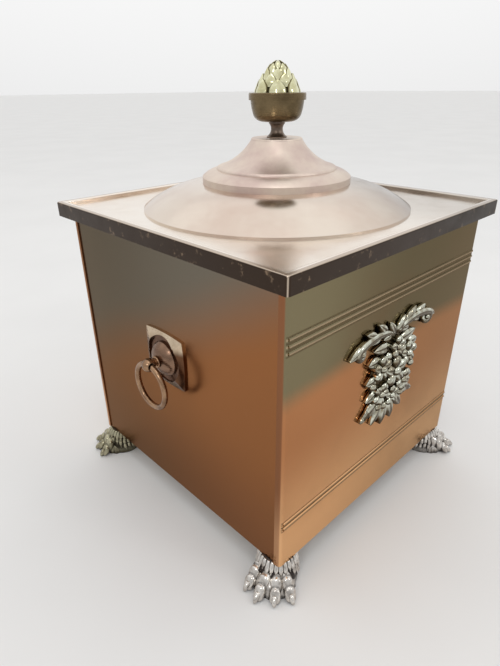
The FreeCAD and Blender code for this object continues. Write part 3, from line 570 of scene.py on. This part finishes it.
def toeRings(store, knuckle, tip):
    # toe: loaf that stands on the floor, its top line and width carried back from the tip over two knuckles
    knuckle, tip = np.array(knuckle), np.array(tip)
    reach = np.linalg.norm(tip - knuckle)
    along = np.append((tip - knuckle) / reach, 0.0)
    side = np.array([-along[1], along[0], 0.0])
    stretch = reach / paw["drawn"]
    back = np.linspace(paw["back"][0], paw["back"][-1], 84)
    crown, half = (softLine(back, paw["back"], paw[line]) for line in ("crown", "half"))
    phi = fullTurn(32)[None, :]
    spring = np.maximum(crown - 1.2 * half, 0.32 * crown)
    low = np.clip(-np.sin(phi), 0, 1)
    lift = spring + (crown - spring) * np.clip(np.sin(phi), 0, 1) ** 0.9 - spring * low ** 0.8
    middle = np.append(tip, 0.0) - (stretch * back)[:, None] * along
    rings = middle[:, None, :] + (half * np.cos(phi) * (1 - 0.22 * low))[..., None] * side
    rings[..., 2] = lift
    outer = np.clip(np.sign(tip[1]) * (abs(tip[1]) > paw["outer"]) * np.cos(phi), 0, 1)
    # painted shade on the lower sides of the toe, less on the outer side of an outer toe, and in its creases
    shade = 0.75 * smooth(0.15, -0.35, np.sin(phi)) * (1 - 0.85 * smooth(0.1, 0.5, outer)) + 0 * crown
    for place, spread, depth in paw["creases"]:
        shade = shade + depth * np.exp(-((back - place) / spread) ** 2)[:, None]
    addRings(store, rings / 1000, np.clip(shade, 0, 1))
    # claw: curved nail from the end of the toe down to the floor, with painted shade where it leaves the toe
    w = np.linspace(0, 1, 22)
    start, high, radius, end = paw["claw"]
    nail = np.append(tip, 0.0) - (stretch * start * (1 - w ** 0.85))[:, None] * along
    nail[:, 2] = high - (high - end) * w ** 1.2
    hook = sweep(nail, side, radius * (1 - 0.55 * w ** 3), 14, 0.85)
    hook[..., 2] = np.maximum(hook[..., 2], 0.0)
    addRings(store, hook / 1000, 0.05 + 0.15 * smooth(0.22, 0.0, w)[:, None])


def lockRings(store, turn, top, end, radius):
    # lock of fur: tapering cord laid down the foot body, its tip standing a little off
    w = np.linspace(0, 1, 24)
    ring = fullTurn(14)
    path = moundPoint(turn + 0.10 * w * math.sin(turn), paw["height"] * (top + (end - top) * w))
    out = np.array([math.cos(turn), math.sin(turn), 0.0])
    path = path + (0.0010 * w ** 2 - 0.0006)[:, None] * out
    girth = radius / 1000 * (0.55 + 0.55 * np.sin(np.pi * (0.1 + 0.8 * w))) * (1 - 0.72 * smooth(0.55, 1, w))
    lock = sweep(path, np.array([-math.sin(turn), math.cos(turn), 0.0]), girth, len(ring))
    lock[..., 2] = np.clip(lock[..., 2], 0.0, paw["height"])
    # painted shade along the sides of each lock, between the locks, and at its top under the row above
    shade = 0.85 * smooth(0.62, 0.98, np.abs(np.cos(ring)))[None, :] + 0.35 * smooth(0.25, 0.0, w)[:, None]
    addRings(store, lock, np.clip(shade, 0, 1))


def buildPaw(name, corner):
    # foot body, pad, fur and toes, made with the foot pointing along x and then turned and moved to its corner
    store = newStore()
    v = np.linspace(0, 1, 30)[:, None]
    phi = fullTurn(96)[None, :]
    # foot body painted dark as shade under the fur, less towards the floor
    addRings(store, moundPoint(phi, paw["height"] * (1 - v)), 0.75 - 0.45 * smooth(0.55, 0.85, v) + 0 * phi)
    # pad under the toes: low dome, its sides a little wrinkled, with painted shade in the folds and towards its top
    x, y, long, wide, tall = paw["pad"]
    folds = paw["wrinkles"] * phi
    swell = np.sqrt(1 - np.clip(v, 0, 0.995) ** 2.6) * (1 + 0.02 * np.cos(folds) * (1 - v))
    pad = np.stack([x + long * swell * np.cos(phi), y + wide * swell * np.sin(phi), tall * v + 0 * phi], -1)
    addRings(store, pad[::-1] / 1000, 0.18 + 0.25 * np.cos(folds + np.pi) ** 8 + 0.2 * v)
    for row, (count, top, end, radius, gap) in enumerate(paw["locks"]):
        for i in range(count):
            turn = -180 + 360 * (i + 0.5 * (row % 2)) / count
            if abs(turn) >= gap:
                front = 0.5 + 0.5 * math.cos(math.radians(turn))
                lockRings(store, math.radians(turn), top, end + 0.06 * front * (i % 2) + 0.05 * (i % 3), radius)
    for knuckle, tip in paw["toes"]:
        toeRings(store, knuckle, tip)
    # turned sideways from the diagonal, away from the middle of the front or the back
    sense = math.copysign(1.0, corner[0] * corner[1])
    angle = math.atan2(corner[1], corner[0]) - math.radians(paw["turn"]) * sense
    spin = np.array([[math.cos(angle), -math.sin(angle), 0], [math.sin(angle), math.cos(angle), 0], [0, 0, 1]])
    ankle = np.array([corner[0], corner[1], 0.0])
    store["points"] = [points @ spin.T + ankle for points in store["points"]]
    # the back feet get darker tones, painted as shade
    finish = finishes["paw" if corner[1] < 0 else "pawShaded"]
    makePiece("pawCasting_" + name, store, finish, "bin", ["paw_" + name], paw["underShade"])


for cornerName in ("front_left", "front_right", "back_left", "back_right"):
    buildPaw(cornerName, mounts["sole_" + cornerName])


# Scroll crest, drawn in its own plane: x across, y up, z out of the panel

crest = {
    # wing: start, heading, and arcs as radius and turn; points of an arc, radius and lift of the moulding
    "wing": ((0.0044, 0.0403), 28.0, ((0.067, -48.0), (0.0052, -310.0))), "steps": 34,
    "wingRadius": 0.0036, "wingLift": 0.0022, "level": 0.181,
    # acanthus along the wing: share of its run, length, half width and lean of a leaf, mm
    "acanthus": ((0.02, 17.0, 4.6, 0.55), (0.30, 18.0, 4.8, 0.50), (0.60, 16.0, 4.4, 0.42),
                 (0.12, 13.0, 4.0, -0.55), (0.46, 14.0, 4.0, -0.48), (0.76, 10.0, 3.4, -0.4)),
    "wingTip": ((52.0, 46.5), (74.0, 37.5), 4.6, 0), "curlEye": (57.0, 38.7, 3.0),
    # leaves round the cluster: root, tip, half width and lobes, mm
    "leaves": (((8, 29), (36, 33), 6.0, 0), ((24, 20), (42, 20.5), 6.4, 0), ((25, 1), (43, 0), 6.4, 0),
               ((22, -14), (41, -20), 6.2, 0), ((13, -24), (46.5, -41), 7.4, 2), ((10, -32), (27, -53), 6.4, 0),
               ((4, -36), (9, -60.5), 6.4, 0)),
    # flowers: centre and reach in mm, petals and turn; those in the middle have a petal straight up
    "flowers": ((23.0, 11.5, 13.5, 5, 0.35), (20.0, -18.0, 12.5, 5, 0.85)),
    "middles": ((0, 1, 16.5, 5), (0, 27, 11.5, 5), (0, -27.5, 11.0, 5)),
    "berries": ((12.5, 20.5, 4.6), (9.8, -36.5, 4.4), (34.0, -4.5, 4.2), (11.5, -14.0, 4.4), (20.0, -33.5, 4.4)),
    # thickness, lift and curl of acanthus and leaves, in metres as all below, and the curl of petals
    "frond": (0.0032, 0.0016, 0.0012), "leaf": (0.0034, 0.0016, 0.0012), "petalCurl": 0.0012, "frondRoot": 0.002,
    "flowerLift": 0.0046, "middleLift": 0.0054, "berryLift": 0.0044, "berryFlat": 0.8,
    # cushion: half width, reach up and down, lift of its edge, thickness; painted shade on under sides
    "cushion": (0.0345, 0.039, 0.054, 0.0002, 0.0036), "underShade": 0.85,
}


def arcPath(start, heading, bends, steps):
    # run of arcs, each a radius and a turn in degrees, left turns positive
    here = np.array(start, float)
    angle = math.radians(heading)
    runs = [here[None, :]]
    for radius, turn in bends:
        bend = math.radians(turn)
        part = np.linspace(0, 1, steps)[1:] * bend
        sign = math.copysign(1.0, bend)
        centre = here + sign * radius * np.array([-math.sin(angle), math.cos(angle)])
        runs.append(centre + sign * radius * np.stack([np.sin(angle + part), -np.cos(angle + part)], -1))
        here = runs[-1][-1]
        angle += bend
    return np.concatenate(runs)


def wall(turn):
    # cosine above, nearly upright sides below
    return np.where(np.sin(turn) < 0, np.sign(np.cos(turn)) * np.abs(np.cos(turn)) ** 0.35, np.cos(turn))


def scrollRings(store, flat, radius, lift):
    # tapering moulding with a groove along its back
    v = np.linspace(0, 1, len(flat))
    path = np.concatenate([flat, (lift + 0.0012 * np.sin(np.pi * v))[:, None]], 1)
    girth = radius * (0.70 + 0.40 * np.sin(np.pi * np.clip(0.12 + 0.8 * v, 0, 1))) * (1 - 0.45 * smooth(0.6, 1, v))
    turn = fullTurn(20)
    tangent = np.gradient(path, axis=0)
    tangent /= np.linalg.norm(tangent, axis=1, keepdims=True)
    out = np.array([0, 0, 1.0])
    across = np.cross(out, tangent)
    fromTop = turn - 0.5 * np.pi
    groove = 1 - 0.22 * np.exp(-(fromTop / 0.5) ** 2)
    rings = (path[:, None, :] + (girth[:, None] * wall(turn) * groove)[..., None] * across[:, None, :]
             + (girth[:, None] * np.sin(turn) * groove)[..., None] * out)
    rings[..., 2] = np.where(np.sin(turn) < 0, path[:, None, 2] * (1 + np.sin(turn)), rings[..., 2])
    # painted shade in the groove and along the foot of the moulding
    shade = 0.35 * np.exp(-(fromTop / 0.35) ** 2) + 0.3 * smooth(-0.5, -0.95, np.sin(turn))
    addRings(store, rings, np.clip(shade, 0, 1)[None, :])


def leafRings(store, start, tip, width, thick, base, curl, lobes=0, rounded=False):
    # leaf: lens outline scalloped by its lobes, domed, with a vein down the middle, tip curling out; a petal's
    # outline is rounded instead
    start, tip = np.array(start, float), np.array(tip, float)
    v = np.linspace(0, 1, 40)
    along = tip - start
    side = np.array([-along[1], along[0]]) / np.linalg.norm(along)
    scallop = 1 + 0.17 * np.cos(2 * np.pi * lobes * v) * (lobes > 0)
    outline = np.sin(np.pi * (0.10 + 0.88 * v) ** 0.9) ** 0.8 * scallop
    if rounded:
        outline = np.sqrt(np.clip(1 - ((v - 0.60) / np.where(v < 0.60, 0.66, 0.405)) ** 2, 0.0004, 1))
    turn = fullTurn(22)
    vein = 1 - 0.42 * np.exp(-(np.cos(turn) / 0.2) ** 2) * (np.sin(turn) > 0)
    x = width * outline[:, None] * wall(turn)
    level = (base + curl * v ** 2 + 0.6 * curl * np.sin(np.pi * v))[:, None]
    dome = level + thick * (0.25 + 0.75 * outline[:, None]) * np.sin(turn) * vein
    z = np.where(np.sin(turn) < 0, level * (1 + np.sin(turn)), dome)
    middle = start + along * v[:, None]
    rings = np.concatenate([middle[:, None, :] + x[..., None] * side, z[..., None]], -1)
    # painted shade in the vein and along the foot, and in the valleys at the lobes and the root
    shade = 0.7 * np.exp(-(np.cos(turn) / 0.14) ** 2) * (np.sin(turn) > 0) + 0.3 * smooth(-0.5, -0.95, np.sin(turn))
    valley = 0.35 * (scallop < 0.95)[:, None] + 0.7 * smooth(0.22, 0, v)[:, None]
    addRings(store, rings, np.clip(shade[None, :] + valley, 0, 1))


def beadRings(store, centre, radius, level):
    # round berry or button, a little flattened, with painted shade on its lower part
    v = np.linspace(0.04, 0.96, 14)[:, None] * np.pi
    turn = fullTurn(18)[None, :]
    rings = np.stack([centre[0] + radius * np.sin(v) * np.cos(turn), centre[1] + radius * np.sin(v) * np.sin(turn),
                      level - crest["berryFlat"] * radius * np.cos(v) + 0 * turn], -1)
    addRings(store, rings, 0.9 * smooth(0.62, 0.35, (1 - np.cos(v)) / 2))


def flowerRings(store, centre, reach, level, petals, twist):
    # flower: domed round petals about a button
    half = 0.60 * reach * math.sin(math.pi / petals)
    for i in range(petals):
        turn = 2 * math.pi * i / petals + twist
        out = np.array([math.cos(turn), math.sin(turn)])
        leafRings(store, np.array(centre) + 0.16 * reach * out, np.array(centre) + reach * out, half, 0.30 * reach,
                  level, crest["petalCurl"], rounded=True)
    beadRings(store, centre, 0.30 * reach, level + 0.22 * reach)


def cushionRings(store):
    # cushion behind the flowers: its outline drawn in towards the middle and lifted as a low dome, painted dark all
    # over as shade
    half, up, down, lift, thick = crest["cushion"]
    turn = fullTurn(96)
    below, above = np.clip(-np.sin(turn), 0, 1), np.clip(np.sin(turn), 0, 1)
    wide = half * (1 - 0.50 * below ** 2) * (1 - 0.12 * above) * (1 + 0.03 * np.cos(10 * turn))
    tall = np.where(np.sin(turn) > 0, up, down)
    outline = np.stack([wide * np.cos(turn), tall * np.sin(turn)], -1)
    t = np.linspace(0, 1, 16)[:, None, None]
    flat = outline[None] * np.sqrt(1 - np.clip(t, 0, 0.999) ** 2)
    level = lift + thick * t[..., 0] * np.ones((1, len(turn)))
    addRings(store, np.concatenate([flat, level[..., None]], -1), 0.9)


def buildCrest():
    # one half of wing, leaves, flowers and berries, its mirror image, and the cushion with the middle flowers
    half = newStore()
    wing = arcPath(*crest["wing"], crest["steps"])
    scrollRings(half, wing, crest["wingRadius"], crest["wingLift"])
    for share, length, width, lean in crest["acanthus"]:
        k = int(share * (crest["steps"] - 1))
        ahead = (wing[k + 1] - wing[k]) / np.linalg.norm(wing[k + 1] - wing[k])
        left = np.array([-ahead[1], ahead[0]])
        tip = wing[k] + length / 1000 * (math.sqrt(1 - lean ** 2) * ahead + lean * left)
        leafRings(half, wing[k] - crest["frondRoot"] * ahead, tip, width / 1000, *crest["frond"])
    for start, tip, width, lobes in (*crest["leaves"], crest["wingTip"]):
        leafRings(half, np.array(start) / 1000, np.array(tip) / 1000, width / 1000, *crest["leaf"], lobes)
    for x, y, reach, petals, twist in crest["flowers"]:
        flowerRings(half, (x / 1000, y / 1000), reach / 1000, crest["flowerLift"], petals, twist)
    for x, y, size in (*crest["berries"], crest["curlEye"]):
        beadRings(half, (x / 1000, y / 1000), size / 1000, crest["berryLift"])
    # second half: the same points mirrored in x
    store = newStore()
    for sign in (1.0, -1.0):
        store["points"] += [points * np.array([sign, 1.0, 1.0]) for points in half["points"]]
        store["hollow"] += half["hollow"]
        store["faces"] += [[i + store["count"] for i in face] for face in half["faces"]]
        store["count"] += half["count"]
    cushionRings(store)
    for x, y, reach, petals in crest["middles"]:
        flowerRings(store, (x / 1000, y / 1000), reach / 1000, crest["middleLift"], petals, 0.5 * math.pi)
    # stood up against the front panel, which mirrors the back one: x stays, y goes up, z goes forwards
    seat = np.array([0.0, -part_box("back_panel")[1].y, crest["level"]])
    stand = np.array([[1, 0, 0], [0, 0, -1], [0, 1, 0]], float)
    store["points"] = [np.maximum(points, [-1, -1, 0.0]) @ stand.T + seat for points in store["points"]]
    makePiece("crestCasting", store, finishes["crest"], "bin", ["crest_mount"], crest["underShade"])


buildCrest()


# Floor, light and camera

studio = {
    "floor": (0.80, 0.795, 0.785), "tint": 0.97, "cloud": (3.0, 3.0, 0.55, 0.3, 0.7),
    "floorRough": 0.7, "reach": 40.0,
    # room: its two tones, the heights where they change, and how much the far side counts as height
    "dim": (0.58, 0.58, 0.58), "bright": (0.98, 0.98, 0.98), "grow": (-0.35, 0.72), "far": 0.25,
    # each lamp: place, size in metres and power in watts; all point at aim
    "lamps": (("overhead", (0.25, 0.65, 2.4), 3.4, 3.5), ("window", (-1.9, -0.9, 1.7), 0.45, 5.0),
              ("front", (0.6, -2.0, 1.5), 0.5, 4.0), ("skylight", (-0.45, -0.40, 2.4), 0.7, 2.6)),
    "aim": (0.0, 0.0, 0.2),
}


def buildWorld(scene):
    # pale room: light grows from the near horizon to the ceiling and the far wall
    world = bpy.data.worlds.new("paleRoom")
    scene.world = world
    world.use_nodes = True
    tree = world.node_tree
    lit = tree.nodes["Background"]
    coords = tree.nodes.new("ShaderNodeTexCoord")
    x, y, z = split(tree, coords.outputs["Generated"])
    far = math2(tree, "MULTIPLY", math2(tree, "ADD", x, y), studio["far"])
    share = ramp(tree, math2(tree, "ADD", z, far), *studio["grow"])
    tree.links.new(mixColour(tree, share, studio["dim"], studio["bright"]), lit.inputs["Color"])


def lookAlong(place, forward, roll=0.0):
    # place of a lamp or camera: right is forward crossed with up, and roll turns both about the forward line
    forward = np.array(forward, float) / np.linalg.norm(forward)
    right = np.cross(forward, (0, 0, 1.0))
    right /= np.linalg.norm(right)
    up = np.cross(right, forward)
    rolledRight = right * math.cos(roll) + up * math.sin(roll)
    rolledUp = up * math.cos(roll) - right * math.sin(roll)
    turn = Matrix(np.stack([rolledRight, rolledUp, -forward], 1).tolist()).to_4x4()
    return Matrix.Translation(place) @ turn


def buildStudio(scene):
    # square floor and soft disk lamps
    mesh = bpy.data.meshes.new("floor")
    reach = studio["reach"]
    corners = [(-reach, -reach, 0), (reach, -reach, 0), (reach, reach, 0), (-reach, reach, 0)]
    mesh.from_pydata(corners, [], [(0, 1, 2, 3)])
    material, tree, principled, coords = shader("paleFloor", 0.0, studio["floorRough"])
    tint = tuple(studio["tint"] * part for part in studio["floor"])
    tone = mixColour(tree, patches(tree, coords, *studio["cloud"]), studio["floor"], tint)
    tree.links.new(tone, principled.inputs["Base Color"])
    mesh.materials.append(material)
    floor = bpy.data.objects.new("floor", mesh)
    scene.collection.objects.link(floor)
    for name, place, size, power in studio["lamps"]:
        lamp = bpy.data.lights.new(name, "AREA")
        lamp.shape = "DISK"
        lamp.size = size
        lamp.energy = power
        holder = bpy.data.objects.new(name, lamp)
        holder.matrix_world = lookAlong(place, np.array(studio["aim"]) - place)
        scene.collection.objects.link(holder)


photoCamera = {
    "place": (-0.38686, -0.35950, 0.42941), "yaw": 44.0, "pitch": -26.57, "roll": -0.53,
    # focal length and picture height in pixels, sensor in mm, nearest distance drawn in metres
    "focal": 492.69, "tall": 666.0, "sensor": 36.0, "near": 0.01,
}


def buildCamera(scene):
    # lens: the focal length over the picture's height, times the sensor
    yaw, pitch = math.radians(photoCamera["yaw"]), math.radians(photoCamera["pitch"])
    forward = (math.sin(yaw) * math.cos(pitch), math.cos(yaw) * math.cos(pitch), math.sin(pitch))
    data = bpy.data.cameras.new("photoCamera")
    data.sensor_width = photoCamera["sensor"]
    data.lens = photoCamera["focal"] / photoCamera["tall"] * photoCamera["sensor"]
    data.clip_start = photoCamera["near"]
    holder = bpy.data.objects.new("photoCamera", data)
    holder.matrix_world = lookAlong(photoCamera["place"], forward, math.radians(photoCamera["roll"]))
    scene.collection.objects.link(holder)
    scene.camera = holder


buildWorld(bpy.context.scene)
buildStudio(bpy.context.scene)
buildCamera(bpy.context.scene)
bpy.context.scene.view_settings.view_transform = "Standard"
print("studio ready")
